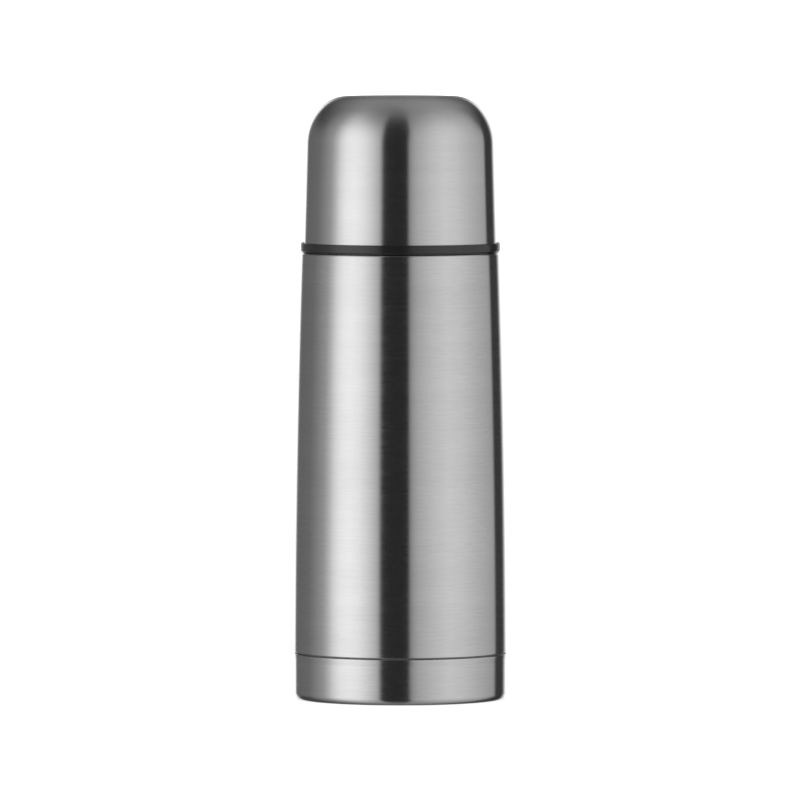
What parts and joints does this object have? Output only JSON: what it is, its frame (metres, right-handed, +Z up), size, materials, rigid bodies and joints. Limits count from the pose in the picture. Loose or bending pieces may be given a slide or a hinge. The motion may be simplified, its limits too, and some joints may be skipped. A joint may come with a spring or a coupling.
{
  "type": "vacuum flask",
  "caption": "Slim vacuum-insulated steel flask: brushed barrel-shaped body, screw-in stopper with a push-button pouring valve, and a domed steel cup that screws over it.",
  "frame": {"origin": "centre of the circle that the flask stands on, on the floor", "axes": "+Z up along the axis of the body; -Y is the side that the stopper pours to"},
  "size_m": [0.07, 0.07, 0.198],
  "materials": {
    "brushed_steel": "brushed round the axis, satin",
    "inner_steel": "bright, drawn and electropolished",
    "spring_steel": "drawn wire",
    "black_plastic": "fine moulded satin",
    "grey_plastic": "moulded satin",
    "white_silicone": "matt, translucent",
    "foil": "bright foil",
    "glass_bead": "fused",
    "getter": "sintered powder",
    "adhesive": "cured bead"
  },
  "bodies": {
    "flask_body": {"outer_shell": "brushed_steel", "inner_vessel": "inner_steel", "inner_vessel_bottom": "inner_steel", "reflective_foil": "foil", "vacuum_base": "inner_steel", "evacuation_bead": "glass_bead", "getter_cup": "inner_steel", "getter_pellet": "getter", "bond_ring": "adhesive", "base_cap": "brushed_steel"},
    "stopper_ring": {"stopper_gasket": "white_silicone"},
    "stopper": {"stopper_body": "black_plastic", "stem_guide": "grey_plastic", "stopper_seat": "grey_plastic", "stopper_cap": "black_plastic", "button_spring": "spring_steel"},
    "button": {"push_button": "grey_plastic", "button_seal": "white_silicone", "valve_stem": "grey_plastic", "valve_seal": "white_silicone"},
    "cup_ring": {"cup_lip_ring": "black_plastic"},
    "cup": {"cup_shell": "brushed_steel", "cup_liner": "black_plastic"}
  },
  "joints": [
    {"name": "stopper_rise", "type": "slide", "parent": "flask_body", "child": "stopper_ring", "axis": [0, 0, 1], "range_m": [0, 0.04]},
    {"name": "stopper_turn", "type": "hinge", "parent": "stopper_ring", "child": "stopper", "pos_m": [0, 0, 0.158], "axis": [0, 0, 1], "range_deg": [0, 1440]},
    {"name": "cup_rise", "type": "slide", "parent": "stopper", "child": "cup_ring", "axis": [0, 0, 1], "range_m": [0, 0.06]},
    {"name": "cup_turn", "type": "hinge", "parent": "cup_ring", "child": "cup", "pos_m": [0, 0, 0.157], "axis": [0, 0, 1], "range_deg": [0, 2160]},
    {"name": "button_press", "type": "slide", "parent": "stopper", "child": "button", "axis": [0, 0, 1], "range_m": [-0.004, 0], "stiffness_N_per_m": 800, "springref_m": 0.006, "deforming": ["button_spring"]}
  ],
  "couplings": [
    {"joint": "stopper_turn", "follows": "stopper_rise", "rad_per_m": 628.32},
    {"joint": "cup_turn", "follows": "cup_rise", "rad_per_m": 628.32}
  ]
}
